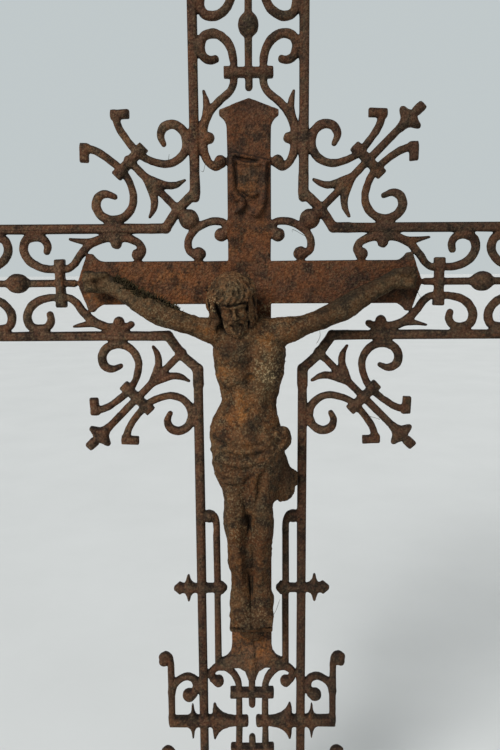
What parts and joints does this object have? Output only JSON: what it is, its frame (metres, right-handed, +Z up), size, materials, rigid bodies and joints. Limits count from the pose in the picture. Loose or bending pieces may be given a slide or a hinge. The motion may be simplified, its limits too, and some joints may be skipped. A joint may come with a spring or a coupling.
{
  "type": "cast iron grave cross",
  "caption": "Openwork cast-iron grave cross with scrolled corner sprays, collared bars and a cast figure on a plain inner cross, rusted all over.",
  "frame": {"origin": "middle of the flat sole, at ground level, in the mid plane of the cross", "axes": "+Z up the shaft, +X along the arms to the viewer's right, -Y out of the front where the figure is"},
  "size_m": [0.932, 0.0951, 1.329],
  "materials": {
    "rusted_iron": "dark brown rust, rough",
    "figure_iron": "khaki and orange-brown rust patina, rough"
  },
  "bodies": {
    "root": {"openwork_cross": "rusted_iron", "corpus": "figure_iron"}
  },
  "joints": []
}
